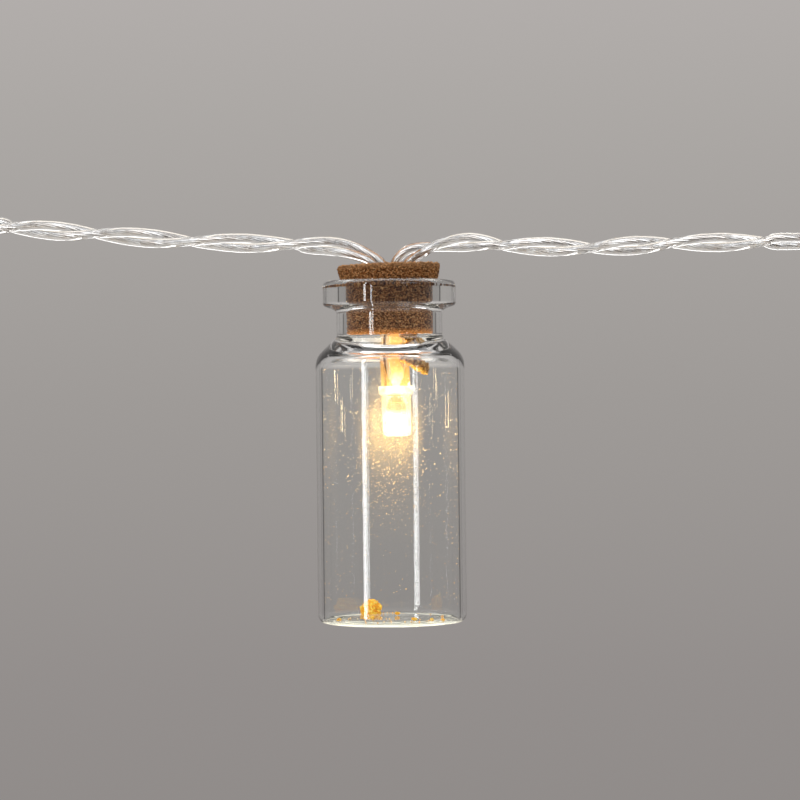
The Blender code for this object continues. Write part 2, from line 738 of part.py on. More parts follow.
def make_coupler(side, end, direction, make_poles):
    """A coupler points outwards along its own Z axis, with its hanging eye up."""
    start = ((end[0] * ROUTE_UNIT) + direction * SEAT_GAP, 0, end[1] * ROUTE_UNIT)
    turn = math.pi if direction > 0 else 0
    coupler = empty(f"{side} coupler", start, (0, -math.pi / 2, turn))
    plastic = clear_plastic(f"clear {side} coupler")
    rubber = material(f"{side} boot", (0.86, 0.86, 0.84), 0.5)
    turned(f"{side}_coupler_boot", boot_outline(), rubber, coupler, sides=BOOT_SIDES)
    make_shell(side, coupler, plastic)
    make_poles(side, coupler, plastic, copper(f"{side} poles"))


def make_jar():
    jar_hinge = empty("jar hinge")
    stopper = empty("stopper", (0, 0, -RIM_DROP), (0, -CORK_TILT, 0), jar_hinge)
    lamp = empty("lamp", (LAMP_OFFSET, 0, 0), parent=stopper)
    vial_slide = empty("vial slide", (0, 0, -RIM_DROP), parent=jar_hinge)
    make_vial(vial_slide)
    make_cork(stopper)
    make_chip(lamp)
    make_sleeve(lamp)
    make_cap(lamp)
    make_lens(lamp)
    make_leads(lamp)
    make_insulation(lamp)
    make_splices(lamp)
    make_tails(stopper)


def main():
    for old in list(bpy.data.objects):
        bpy.data.objects.remove(old)
    make_jar()
    make_string()
    make_coupler("left", LEFT_STRING_END, -1, make_socket)
    make_coupler("right", RIGHT_STRING_END, 1, make_plug)


main()
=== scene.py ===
import math
import random

import bpy
from mathutils import Matrix, Vector


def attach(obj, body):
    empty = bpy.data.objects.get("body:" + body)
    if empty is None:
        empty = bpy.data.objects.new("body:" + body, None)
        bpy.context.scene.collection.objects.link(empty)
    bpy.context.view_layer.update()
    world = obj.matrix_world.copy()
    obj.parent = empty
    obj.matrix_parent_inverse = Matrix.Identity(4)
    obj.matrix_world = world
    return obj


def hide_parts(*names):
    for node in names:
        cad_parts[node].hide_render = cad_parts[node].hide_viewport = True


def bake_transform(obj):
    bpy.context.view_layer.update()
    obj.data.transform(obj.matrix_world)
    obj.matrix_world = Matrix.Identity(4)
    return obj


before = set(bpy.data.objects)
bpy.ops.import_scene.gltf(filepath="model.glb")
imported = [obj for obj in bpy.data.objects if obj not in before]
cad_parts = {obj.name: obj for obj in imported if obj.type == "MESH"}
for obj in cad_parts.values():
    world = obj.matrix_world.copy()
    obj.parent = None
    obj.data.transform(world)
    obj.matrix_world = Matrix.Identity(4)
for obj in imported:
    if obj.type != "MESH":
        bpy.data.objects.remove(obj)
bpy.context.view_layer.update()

mm = 0.001
tau = math.tau
dice = random.Random(22)


def startFresh():
    if bpy.context.object and bpy.context.object.mode != "OBJECT":
        bpy.ops.object.mode_set(mode="OBJECT")
    bpy.ops.object.select_all(action="DESELECT")


def pick(piece):
    startFresh()
    piece.select_set(True)
    bpy.context.view_layer.objects.active = piece


print("camera")
view = {"away": 420.0, "side": 1.44, "level": -22.89, "roll": 0.6, "lens": 127.93, "sensor": 36}
bpy.ops.object.camera_add(
    location=(view["side"] * mm, -view["away"] * mm, view["level"] * mm),
    rotation=(math.radians(90), math.radians(view["roll"]), 0),
)
camera = bpy.context.object
camera.data.lens = view["lens"]
camera.data.sensor_width = view["sensor"]
camera.data.clip_start = 0.01
camera.data.clip_end = 20
bpy.context.scene.camera = camera


# each material starts from a principled surface and gets its own grain
def newSurface(name, color, roughness):
    surface = bpy.data.materials.new(name)
    surface.use_nodes = True
    main = surface.node_tree.nodes["Principled BSDF"]
    main.inputs["Base Color"].default_value = (*color, 1)
    main.inputs["Roughness"].default_value = roughness
    return surface, surface.node_tree.nodes, surface.node_tree.links, main


def grain(nodes, links, scale, detail=2.0, rough=0.5, stretch=(1, 1, 1)):
    turn = nodes.new("ShaderNodeMapping")
    turn.inputs["Scale"].default_value = stretch
    clouds = nodes.new("ShaderNodeTexNoise")
    clouds.inputs["Scale"].default_value = scale
    clouds.inputs["Detail"].default_value = detail
    clouds.inputs["Roughness"].default_value = rough
    links.new(nodes.new("ShaderNodeTexCoord").outputs["Object"], turn.inputs["Vector"])
    links.new(turn.outputs["Vector"], clouds.inputs["Vector"])
    return clouds.outputs["Fac"]


def cells(nodes, links, scale):
    stones = nodes.new("ShaderNodeTexVoronoi")
    stones.inputs["Scale"].default_value = scale
    links.new(nodes.new("ShaderNodeTexCoord").outputs["Object"], stones.inputs["Vector"])
    return stones


def ramp(nodes, links, value, stops):
    colors = nodes.new("ShaderNodeValToRGB")
    band = colors.color_ramp.elements
    while len(band) < len(stops):
        band.new(0.5)
    for item, (place, color) in zip(band, stops):
        item.position = place
        item.color = (*color, 1)
    links.new(value, colors.inputs["Fac"])
    return colors.outputs["Color"]


def bump(nodes, links, main, height, strength, distance):
    relief = nodes.new("ShaderNodeBump")
    relief.inputs["Strength"].default_value = strength
    relief.inputs["Distance"].default_value = distance
    links.new(height, relief.inputs["Height"])
    links.new(relief.outputs["Normal"], main.inputs["Normal"])


def span(nodes, links, value, low, high, newLow=0.0, newHigh=1.0):
    fit = nodes.new("ShaderNodeMapRange")
    fit.inputs["From Min"].default_value = low
    fit.inputs["From Max"].default_value = high
    fit.inputs["To Min"].default_value = newLow
    fit.inputs["To Max"].default_value = newHigh
    links.new(value, fit.inputs["Value"])
    return fit.outputs["Result"]


# what goes into a socket is another socket or a plain number
def feed(links, value, socket):
    if isinstance(value, bpy.types.NodeSocket):
        links.new(value, socket)
    else:
        socket.default_value = value


def combine(nodes, links, kind, first, second=0.0):
    both = nodes.new("ShaderNodeMath")
    both.operation = kind
    feed(links, first, both.inputs[0])
    feed(links, second, both.inputs[1])
    return both.outputs["Value"]


def mixOf(nodes, links, share, first, second):
    both = nodes.new("ShaderNodeMixShader")
    feed(links, share, both.inputs["Fac"])
    links.new(first, both.inputs[1])
    links.new(second, both.inputs[2])
    return both.outputs["Shader"]


def axesOf(nodes, links, where="Object"):
    parts = nodes.new("ShaderNodeSeparateXYZ")
    links.new(nodes.new("ShaderNodeTexCoord").outputs[where], parts.inputs["Vector"])
    return parts.outputs


def heightOf(nodes, links, low, high):
    return span(nodes, links, axesOf(nodes, links)["Z"], low * mm, high * mm)


# how far a point lies in a direction
def along(nodes, links, direction):
    toward = nodes.new("ShaderNodeVectorMath")
    toward.operation = "DOT_PRODUCT"
    toward.inputs[1].default_value = direction
    links.new(nodes.new("ShaderNodeTexCoord").outputs["Object"], toward.inputs[0])
    return toward.outputs["Value"]


def dimmed(nodes, links, color, share):
    scale = nodes.new("ShaderNodeVectorMath")
    scale.operation = "SCALE"
    links.new(color, scale.inputs[0])
    links.new(share, scale.inputs["Scale"])
    return scale.outputs["Vector"]


# stops for a ramp that runs through grays
def grays(*stops):
    return [(place, (tone, tone, tone)) for place, tone in stops]


def seeThrough(nodes, links, main, tint):
    # what is clear keeps no shadow: lamp light goes on through it
    ray = nodes.new("ShaderNodeLightPath")
    either = combine(nodes, links, "MAXIMUM", ray.outputs["Is Shadow Ray"], ray.outputs["Is Diffuse Ray"])
    pane = nodes.new("ShaderNodeBsdfTransparent")
    pane.inputs["Color"].default_value = (*tint, 1)
    both = mixOf(nodes, links, either, main.outputs["BSDF"], pane.outputs["BSDF"])
    links.new(both, nodes["Material Output"].inputs["Surface"])


def glassLike(name, color, ior, smudge, wave, waveScale, tint):
    surface, nodes, links, main = newSurface(name, color, smudge)
    main.inputs["Transmission Weight"].default_value = 1
    main.inputs["IOR"].default_value = ior
    haze = grain(nodes, links, waveScale * 6, 3)
    links.new(span(nodes, links, haze, 0.4, 0.7, smudge * 0.4, smudge * 1.6), main.inputs["Roughness"])
    bump(nodes, links, main, grain(nodes, links, waveScale, 1), wave, 0.0002)
    seeThrough(nodes, links, main, tint)
    return surface


# the first band of heights is painted paler on the cork's top as if lit from above (painted highlight), the
# second band is painted darker where the rim holds it (painted shade), and lit is where the lamp's light is
# painted on as a glow
def corkSurface(name, tones, size, depth, glow=0.0, paintedTopLight=None, rimShade=None, lit=None):
    surface, nodes, links, main = newSurface(name, tones[1], 0.85)
    stones = cells(nodes, links, 1 / size)
    mixed = nodes.new("ShaderNodeSeparateColor")
    links.new(stones.outputs["Color"], mixed.inputs["Color"])
    fine = grain(nodes, links, 3.2 / size, 4, 0.65)
    coarse = combine(nodes, links, "MULTIPLY", mixed.outputs["Red"], 0.45)
    both = combine(nodes, links, "ADD", coarse, span(nodes, links, fine, 0.3, 0.75, 0, 0.6))
    color = ramp(nodes, links, both, list(zip((0.26, 0.42, 0.57, 0.76), tones)))
    if paintedTopLight:
        # painted highlight: the top of the cork is made paler where light from above falls on it
        topLight = nodes.new("ShaderNodeMix")
        topLight.data_type = "RGBA"  # its two colors are sockets 6 and 7
        links.new(span(nodes, links, heightOf(nodes, links, *paintedTopLight), 0, 1, 0, 0.55), topLight.inputs[0])
        links.new(color, topLight.inputs[6])
        topLight.inputs[7].default_value = (0.76, 0.42, 0.20, 1)
        color = topLight.outputs[2]
    if rimShade:
        # painted shade: the cork within the rim's heights is darkened as if the rim shades it
        darker = nodes.new("ShaderNodeVectorMath")
        darker.operation = "MULTIPLY"
        links.new(color, darker.inputs[0])
        links.new(ramp(nodes, links, heightOf(nodes, links, *rimShade), [
            (0.0, (1, 1, 1)), (0.2, (0.6, 0.58, 0.55)), (0.8, (0.6, 0.58, 0.55)), (1.0, (1, 1, 1)),
        ]), darker.inputs[1])
        color = darker.outputs["Vector"]
    links.new(color, main.inputs["Base Color"])
    if lit:
        # painted light: the lamp's glow is painted on as emission, patchy with the grain
        near = span(nodes, links, along(nodes, links, lit["toward"]), lit["from"] * mm, lit["to"] * mm, 1, 0)
        patchy = combine(nodes, links, "MULTIPLY", near, span(nodes, links, fine, 0.35, 0.6, 0.1, 1))
        light = ramp(nodes, links, patchy, [(0, (0, 0, 0)), (1, lit["color"])])
        links.new(light, main.inputs["Emission Color"])
        main.inputs["Emission Strength"].default_value = lit["strength"]
    bump(nodes, links, main, combine(nodes, links, "ADD", fine, stones.outputs["Distance"]), 0.9, depth)
    main.inputs["Specular IOR Level"].default_value = 0.25
    if glow:
        main.inputs["Subsurface Weight"].default_value = glow
        main.inputs["Subsurface Radius"].default_value = (0.0012, 0.0006, 0.0002)
        main.inputs["Subsurface Scale"].default_value = 1
    return surface


def vialSurface():
    # smooth on the body, rippled and greener where the foot was pressed
    surface, nodes, links, main = newSurface("vial glass", (0.985, 0.995, 0.99), 0.004)
    main.inputs["Transmission Weight"].default_value = 1
    main.inputs["IOR"].default_value = 1.5
    foot = heightOf(nodes, links, -54.9, -55.6)
    links.new(ramp(nodes, links, foot, [(0.0, (0.985, 0.995, 0.99)), (1.0, (0.88, 0.965, 0.90))]),
              main.inputs["Base Color"])
    haze = grain(nodes, links, 1500, 3)
    links.new(span(nodes, links, haze, 0.4, 0.7, 0.001, 0.006), main.inputs["Roughness"])
    rings = nodes.new("ShaderNodeTexWave")
    rings.wave_type = "RINGS"
    rings.rings_direction = "Z"
    rings.inputs["Scale"].default_value = 380
    rings.inputs["Distortion"].default_value = 1.2
    rings.inputs["Detail"].default_value = 1.0
    links.new(nodes.new("ShaderNodeTexCoord").outputs["Object"], rings.inputs["Vector"])
    ripple = combine(nodes, links, "MULTIPLY", foot, rings.outputs["Fac"])
    uneven = span(nodes, links, grain(nodes, links, 260, 1), 0, 1, 0, 0.02)
    bump(nodes, links, main, combine(nodes, links, "ADD", ripple, uneven), 0.6, 0.0001)
    # painted light: the ripples of the foot glow by emission as if they caught the lamp above them
    links.new(ramp(nodes, links, ripple, [
        (0.0, (0, 0, 0)), (0.50, (0.03, 0.034, 0.024)), (1.0, (0.80, 0.73, 0.56)),
    ]), main.inputs["Emission Color"])
    main.inputs["Emission Strength"].default_value = 1
    seeThrough(nodes, links, main, (0.97, 0.98, 0.975))
    return surface


def metalSurface(name, color, tint, roughness, size):
    surface, nodes, links, main = newSurface(name, color, roughness)
    main.inputs["Metallic"].default_value = 1
    stain = grain(nodes, links, 0.12 / size, 2)
    links.new(ramp(nodes, links, stain, [(0.42, tint), (0.58, color)]), main.inputs["Base Color"])
    dull = grain(nodes, links, 1 / size, 4)
    links.new(span(nodes, links, dull, 0.3, 0.7, roughness * 0.6, roughness * 1.5), main.inputs["Roughness"])
    bump(nodes, links, main, dull, 0.25, 0.00003)
    return surface


def plasticSurface(name, color, roughness, size, softness=0.0):
    surface, nodes, links, main = newSurface(name, color, roughness)
    dull = grain(nodes, links, 1 / size, 4)
    shade = ramp(nodes, links, dull, [(0.3, [part * 0.93 for part in color]), (0.7, color)])
    links.new(shade, main.inputs["Base Color"])
    links.new(span(nodes, links, dull, 0.3, 0.7, roughness * 0.8, roughness * 1.3), main.inputs["Roughness"])
    bump(nodes, links, main, dull, 0.2, 0.00003)
    if softness:
        main.inputs["Subsurface Weight"].default_value = softness
        main.inputs["Subsurface Radius"].default_value = (0.001, 0.001, 0.001)
        main.inputs["Subsurface Scale"].default_value = 1
    return surface


vialGlass = vialSurface()
softClear = glassLike("clear wire skin", (0.98, 0.98, 0.97), 1.52, 0.03, 0.15, 500, (0.9, 0.9, 0.9))
tinned = metalSurface("tinned strands", (0.80, 0.81, 0.83), (0.68, 0.66, 0.65), 0.34, 0.0002)
solder = metalSurface("solder", (0.72, 0.71, 0.69), (0.60, 0.55, 0.50), 0.35, 0.0003)
darkLead = metalSurface("dull lead", (0.22, 0.13, 0.07), (0.12, 0.06, 0.03), 0.55, 0.0003)
corkBrown = corkSurface("pressed cork", [
    (0.016, 0.004, 0.001), (0.200, 0.056, 0.010), (0.560, 0.200, 0.050), (1.000, 0.620, 0.290),
], 0.00017, 0.00024, paintedTopLight=(-3.9, -3.0), rimShade=(-9.3, -4.9), lit={
    "toward": (0, 0, 1), "from": -13.3, "to": -12.4, "color": (1.0, 0.36, 0.06), "strength": 0.7,
})
corkTorn = corkSurface("torn cork", [
    (0.090, 0.026, 0.006), (0.400, 0.160, 0.042), (0.760, 0.400, 0.120), (1.000, 0.740, 0.300),
], 0.00030, 0.00026, 0.15, lit={
    "toward": (0.642, 0, 0.767), "from": -11.6, "to": -10.8, "color": (1.0, 0.55, 0.05), "strength": 1.2,
})
crumbSurface = corkSurface("cork crumbs", [
    (0.62, 0.22, 0.02), (0.95, 0.46, 0.04), (1.00, 0.68, 0.08), (1.00, 0.86, 0.30),
], 0.00035, 0.00030, 0.1, lit={
    "toward": (0, 0, 1), "from": -51.0, "to": -50.0, "color": (1.0, 0.52, 0.03), "strength": 0.45,
})
paleBoot = plasticSurface("pale soft boot", (0.78, 0.78, 0.76), 0.45, 0.0006, 0.2)
whiteBlock = plasticSurface("white block", (0.82, 0.80, 0.76), 0.4, 0.0006, 0.1)


# corners are (radius, height) or (radius, height, rounding) in millimetres: the line gets
# real arcs there and a point close to each arc's ends, so that flat stretches stay flat
def roundedLine(corners, bend=7.0, hold=0.12):
    line = []
    for index, corner in enumerate(corners):
        here = Vector(corner[:2])
        if len(corner) < 3:
            line.append(here)
            continue
        back = Vector(corners[index - 1][:2]) - here
        ahead = Vector(corners[(index + 1) % len(corners)][:2]) - here
        half = back.angle(ahead) / 2
        reach = min(corner[2] / math.tan(half), 0.46 * back.length, 0.46 * ahead.length)
        start = here + back.normalized() * reach
        end = here + ahead.normalized() * reach
        radius = reach * math.tan(half)
        centre = here + (back.normalized() + ahead.normalized()).normalized() * radius / math.sin(half)
        sweep = math.pi - 2 * half
        steps = max(2, round(math.degrees(sweep) / bend))
        if back.length - reach > 3 * hold:
            line.append(start + back.normalized() * hold)
        for step in range(steps + 1):
            share = step / steps
            fromStart = (start - centre) * math.sin((1 - share) * sweep)
            fromEnd = (end - centre) * math.sin(share * sweep)
            line.append(centre + (fromStart + fromEnd) / math.sin(sweep))
        if ahead.length - reach > 3 * hold:
            line.append(end + ahead.normalized() * hold)
    return line


# a point is extruded along the line, and the line is spun round Z
def lathe(name, line, sides, closed=False):
    startFresh()
    bpy.ops.mesh.primitive_plane_add(size=mm)
    piece = bpy.context.object
    piece.name = piece.data.name = name
    bpy.ops.object.mode_set(mode="EDIT")
    bpy.ops.mesh.select_all(action="SELECT")
    bpy.ops.mesh.merge(type="CENTER")
    spots = [Vector((point[0] * mm, 0, point[1] * mm)) for point in line]
    if closed:
        spots.append(spots[0])
    bpy.ops.transform.translate(value=spots[0])
    for here, there in zip(spots, spots[1:]):
        bpy.ops.mesh.extrude_region_move(TRANSFORM_OT_translate={"value": there - here})
    bpy.ops.mesh.select_all(action="SELECT")
    bpy.ops.mesh.spin(steps=sides, angle=tau, center=(0, 0, 0), axis=(0, 0, 1))
    bpy.ops.mesh.select_all(action="SELECT")
    bpy.ops.mesh.remove_doubles(threshold=0.002 * mm)
    bpy.ops.mesh.normals_make_consistent(inside=False)
    bpy.ops.object.mode_set(mode="OBJECT")
    bpy.ops.object.shade_smooth()
    return piece


# shifts the piece in millimetres, leans it about Y, lifts it and applies its place
def settle(piece, shift=(0, 0, 0), lean=0.0, lift=0.0):
    pick(piece)
    turned = Matrix.Rotation(-math.radians(lean), 4, "Y")
    place = Matrix.Translation(Vector((0, 0, lift)) * mm) @ turned @ Matrix.Translation(Vector(shift) * mm)
    piece.matrix_world = place @ piece.matrix_world
    bpy.context.view_layer.update()
    bpy.ops.object.transform_apply(location=True, rotation=True, scale=True)
    return piece


def dress(piece, surface, body, slotName, *nodes):
    piece.data.materials.clear()
    piece.data.materials.append(surface)
    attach(piece, body)
    if nodes:
        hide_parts(*nodes)


# pushes the points along their normals by clouds or stones, with size and depth in millimetres
def roughen(piece, name, kind, size, depth, detail=2, group=""):
    pattern = bpy.data.textures.new(name, kind)
    pattern.noise_scale = size * mm
    if kind == "CLOUDS":
        pattern.noise_depth = detail
    pick(piece)
    push = piece.modifiers.new(name, "DISPLACE")
    push.vertex_group = group
    push.texture = pattern
    push.texture_coords = "LOCAL"
    push.strength = depth * mm
    push.mid_level = 0.5
    bpy.ops.object.modifier_apply(modifier=push.name)


print("wires")  # clear skin over a bundle of tinned strands
wire = {
    "across": 1.42, "twist": 0.72, "strands": 6, "strandAcross": 0.16, "bundle": 0.19, "lay": 11.0,
    "skinSides": 6, "strandSides": 1, "between": 5,
}
leftCrossings = [(-13.68, 0.25), (-28.89, 0.82), (-43.06, 2.11), (-55.60, 3.20)]
rightCrossings = [(7.29, -0.34), (17.05, -0.22), (30.19, -0.73), (42.00, -0.12), (55.60, -0.05)]
# fan holds the points from the cork to the twist, and from is the first crossing after it
wireRoutes = {
    "leftBack": {
        "fan": [
            (-0.95, 0.62, -2.95), (-1.22, 0.62, -2.47), (-2.13, 0.64, -1.72), (-3.26, 0.67, -1.07),
            (-4.76, 0.62, -0.29), (-6.26, 0.50, 0.24), (-7.76, 0.30, 0.55), (-9.27, -0.10, 0.66),
            (-10.78, -0.45, 0.59), (-12.49, -0.68, 0.46),
        ],
        "crossings": leftCrossings, "from": 0, "end": (-61.80, 3.74), "way": -1, "phase": 0.0,
        "node": "left_back_wire",
    },
    "leftFront": {
        "fan": [
            (-2.25, -0.62, -2.95), (-2.63, -0.62, -2.53), (-3.27, -0.66, -2.12), (-4.77, -0.62, -1.53),
            (-6.27, -0.48, -1.10), (-7.78, -0.20, -0.85), (-9.28, 0.15, -0.67), (-10.88, 0.46, -0.54),
            (-12.50, 0.68, -0.28),
        ],
        "crossings": leftCrossings, "from": 0, "end": (-61.80, 3.74), "way": -1, "phase": math.pi,
        "node": "left_front_wire",
    },
    "rightFront": {
        "fan": [
            (0.90, -0.62, -2.95), (1.07, -0.62, -2.49), (1.44, -0.62, -1.83), (2.26, -0.58, -1.06),
            (3.10, -0.35, -0.62), (3.90, 0.00, -0.40), (4.75, 0.35, -0.29), (5.67, 0.62, -0.25),
            (7.29, 0.72, -0.29), (8.89, 0.66, -0.30), (10.76, 0.30, -0.39), (12.66, -0.25, -0.31),
            (14.90, -0.64, -0.20),
        ],
        "crossings": rightCrossings, "from": 1, "end": (61.80, -0.05), "way": 1, "phase": math.pi,
        "node": "right_front_wire",
    },
    "rightBack": {
        "fan": [
            (2.70, 0.62, -2.95), (2.99, 0.60, -2.51), (4.03, 0.30, -1.71), (5.11, -0.30, -1.10),
            (6.05, -0.60, -0.55), (7.29, -0.72, 0.02), (8.90, -0.66, 0.48), (9.85, -0.45, 0.77),
            (11.25, -0.10, 0.99), (12.48, 0.20, 1.01), (13.90, 0.50, 0.80), (15.50, 0.66, 0.35),
        ],
        "crossings": rightCrossings, "from": 1, "end": (61.80, -0.05), "way": 1, "phase": 0.0,
        "node": "right_back_wire",
    },
}


# a smooth line through the points
def throughPoints(points, between):
    points = [Vector(point) for point in points]
    rows = [points[0] * 2 - points[1], *points, points[-1] * 2 - points[-2]]
    line = []
    for before, here, there, after in zip(rows, rows[1:], rows[2:], rows[3:]):
        for step in range(between):
            t = step / between
            line.append(0.5 * (
                2 * here + (there - before) * t + (2 * before - 5 * here + 4 * there - after) * t * t
                + (3 * here - before - 3 * there + after) * t * t * t
            ))
    line.append(rows[-2])
    return line


# round the pair's own middle line: in front at one crossing, behind at the next, and straight at the end
def twistedPoints(route):
    spots = []
    crossings, way = route["crossings"], route["way"]
    for index in range(route["from"], len(crossings)):
        across, height = crossings[index]
        final = index == len(crossings) - 1
        goal = route["end"] if final else crossings[index + 1]
        for share in (0, 0.25) if final else (0, 0.25, 0.5, 0.75):
            x = across + (goal[0] - across) * share
            z = height + (goal[1] - height) * share * (2 if final else 1)
            turn = route["phase"] + way * index * math.pi + way * math.pi * share
            spots.append((x, -wire["twist"] * math.cos(turn), z + wire["twist"] * math.sin(turn)))
    spots.append((route["end"][0], *spots[-1][1:]))
    return spots


# curves with a round bevel, turned into one mesh with closed ends
def tubeAlong(name, lines, across, sides):
    shape = bpy.data.curves.new(name, "CURVE")
    shape.dimensions = "3D"
    shape.bevel_depth = across / 2 * mm
    shape.bevel_resolution = sides
    shape.use_fill_caps = True
    for line in lines:
        spline = shape.splines.new("POLY")
        spline.points.add(len(line) - 1)
        for spot, point in zip(spline.points, line):
            spot.co = (*(Vector(point) * mm), 1)
    piece = bpy.data.objects.new(name, shape)
    bpy.context.scene.collection.objects.link(piece)
    pick(piece)
    bpy.ops.object.convert(target="MESH")
    bpy.ops.object.mode_set(mode="EDIT")
    bpy.ops.mesh.select_all(action="SELECT")
    bpy.ops.mesh.remove_doubles(threshold=0.0005 * mm)
    bpy.ops.mesh.normals_make_consistent(inside=False)
    bpy.ops.object.mode_set(mode="OBJECT")
    bpy.ops.object.shade_smooth_by_angle(angle=math.radians(50))
    return bpy.context.object


# the strands of a core, wound round its middle line
def bundleLines(line):
    sides, aheads = [], []
    side = Vector((0, 1, 0))
    for index, point in enumerate(line):
        ahead = (line[min(index + 1, len(line) - 1)] - line[max(index - 1, 0)]).normalized()
        side = (side - ahead * side.dot(ahead)).normalized()
        sides.append(side)
        aheads.append(ahead)
    run = 0
    strands = [[] for _ in range(wire["strands"] + 1)]
    for index, point in enumerate(line):
        run += (point - line[index - 1]).length if index else 0
        up = aheads[index].cross(sides[index])
        strands[0].append(point)
        for number in range(wire["strands"]):
            turn = tau * (number / wire["strands"] + run / wire["lay"])
            offset = (sides[index] * math.cos(turn) + up * math.sin(turn)) * wire["bundle"]
            strands[number + 1].append(point + offset)
    return strands


for wireName, route in wireRoutes.items():
    wireLine = throughPoints([*route["fan"], *twistedPoints(route)], wire["between"])
    skin = tubeAlong(wireName + "Skin", [wireLine], wire["across"], wire["skinSides"])
    core = tubeAlong(wireName + "Strands", bundleLines(wireLine), wire["strandAcross"], wire["strandSides"])
    for piece, surface in ((skin, softClear), (core, tinned)):
        piece.data.materials.clear()
        piece.data.materials.append(surface)
        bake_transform(piece)
    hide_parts(route["node"])


print("vial")
rimLevel = -5.23
vial = {
    "tall": 50.5, "outer": 11.0, "wall": 0.97, "bore": 6.45, "neck": 7.83, "rim": 9.83, "rimSide": 3.65,
    "rimUnder": 0.8, "shoulderIn": (-10.45, -11.41), "shoulderOut": (-8.34, -11.215), "foot": 0.5,
    "dome": 0.4, "domeTop": 6.1, "domeSide": 8.0, "pushUp": 6.6, "sides": 192,
}
innerRadius = vial["outer"] - vial["wall"]
floorLine = -vial["tall"] + vial["foot"]
vialLine = roundedLine([
    (0, floorLine + vial["dome"]),
    (vial["domeTop"], floorLine + vial["dome"], 3.0),
    (vial["domeSide"], floorLine, 3.0),
    (innerRadius, floorLine, 0.8),
    (innerRadius, vial["shoulderIn"][1], 2.0),
    (vial["bore"], vial["shoulderIn"][0], 0.6),
    (vial["bore"], 0, 1.0),
    (vial["rim"], 0, 0.9),
    (vial["rim"], -vial["rimSide"], 0.6),
    (vial["neck"], -vial["rimSide"] - vial["rimUnder"], 0.6),
    (vial["neck"], vial["shoulderOut"][0], 1.0),
    (vial["outer"], vial["shoulderOut"][1], 3.2),
    (vial["outer"], -vial["tall"], 1.8),
    (vial["domeSide"], -vial["tall"], 0.4),
    (vial["pushUp"], -vial["tall"] + vial["dome"], 3.0),
    (0, -vial["tall"] + vial["dome"]),
])
glass = settle(lathe("vialGlass", vialLine, vial["sides"]), lift=rimLevel)
# the body is drawn straight, its two ends were worked hot
waves = {"above": -19, "fadeAbove": 3, "below": -54.4, "fadeBelow": 1.2, "least": 0.015, "most": 0.5}
worked = glass.vertex_groups.new(name="worked glass")
for vertex in glass.data.vertices:
    aboveBody = (vertex.co.z / mm - waves["above"]) / waves["fadeAbove"]
    belowBody = (waves["below"] - vertex.co.z / mm) / waves["fadeBelow"]
    share = min(max(aboveBody, belowBody, waves["least"]), waves["most"])
    worked.add([vertex.index], share, "REPLACE")
roughen(glass, "blown waves", "CLOUDS", 4.0, 0.07, 1, worked.name)
dress(glass, vialGlass, "vial", "vial_glass", "glass_vial")


print("cork")
cork = {
    "deep": 8.04, "proud": 2.23, "foot": 6.22, "waist": 6.38, "flare": 7.05, "top": 7.48, "flareFrom": -1.0,
    "holeMouth": 3.0, "holeEdge": 2.6, "edgeDeep": 1.2, "hole": 2.5, "holeDeep": 3.2, "tilt": 1.4,
    "tight": 6.42, "sides": 360, "step": 0.13,
}
corkLine = roundedLine([
    (0, -cork["deep"]),
    (cork["foot"], -cork["deep"], 0.3),
    (cork["waist"], cork["flareFrom"], 0.5),
    (cork["flare"], 0, 0.5),
    (cork["top"], cork["proud"], 0.25),
    (cork["holeMouth"], cork["proud"], 0.4),
    (cork["holeEdge"], cork["proud"] - cork["edgeDeep"], 0.3),
    (cork["hole"], cork["proud"] - cork["holeDeep"]),
    (0, cork["proud"] - cork["holeDeep"]),
])


# the same line with points about step apart
def evenLine(line, step):
    spots = [Vector(line[0])]
    for point in line[1:]:
        point = Vector(point)
        gap = (point - spots[-1]).length
        count = max(1, round(gap / step))
        start = spots[-1]
        spots.extend(start.lerp(point, number / count) for number in range(1, count + 1))
    return spots


stopper = lathe("corkStopper", evenLine(corkLine, cork["step"]), cork["sides"])
roughen(stopper, "cork stones", "VORONOI", 0.36, 0.50)
roughen(stopper, "cork dust", "CLOUDS", 0.13, 0.60, 2)
settle(stopper, lean=cork["tilt"], lift=rimLevel)
for vertex in stopper.data.vertices:  # the bore presses the cork round
    out = math.hypot(vertex.co.x, vertex.co.y)
    below = rimLevel * mm - vertex.co.z
    widest = cork["tight"] * mm if below > mm else (cork["tight"] + (mm - below) / mm) * mm
    if below > 0 and out > widest:
        vertex.co.x *= widest / out
        vertex.co.y *= widest / out
dress(stopper, corkBrown, "jar", "cork", "cork_stopper")

chip = {
    "outline": [
        (2.0, 0.3), (3.4, 0.3), (3.8, -1.9), (5.4, -3.8), (5.2, -6.0), (3.4, -4.9), (1.6, -2.8), (1.7, -1.2),
    ],
    "thick": 1.3, "front": -4.2, "turn": 24, "side": 0.43, "cuts": 23,
}
startFresh()
bpy.ops.mesh.primitive_circle_add(vertices=len(chip["outline"]), radius=mm, fill_type="NGON")
flake = bpy.context.object
flake.name = flake.data.name = "corkChip"
for vertex, (x, z) in zip(flake.data.vertices, chip["outline"]):
    vertex.co = Vector((x, 0, z)) * mm
bpy.ops.object.mode_set(mode="EDIT")
bpy.ops.mesh.select_all(action="SELECT")
bpy.ops.mesh.extrude_region_move(TRANSFORM_OT_translate={"value": (0, chip["thick"] * mm, 0)})
bpy.ops.mesh.select_all(action="SELECT")
bpy.ops.mesh.quads_convert_to_tris()
bpy.ops.mesh.subdivide(number_cuts=chip["cuts"])
bpy.ops.mesh.normals_make_consistent(inside=False)
bpy.ops.object.mode_set(mode="OBJECT")
roughen(flake, "chip tears", "CLOUDS", 1.3, 0.6, 3)
roughen(flake, "chip grains", "VORONOI", 0.42, 0.45)
roughen(flake, "chip dust", "CLOUDS", 0.16, 0.35, 2)
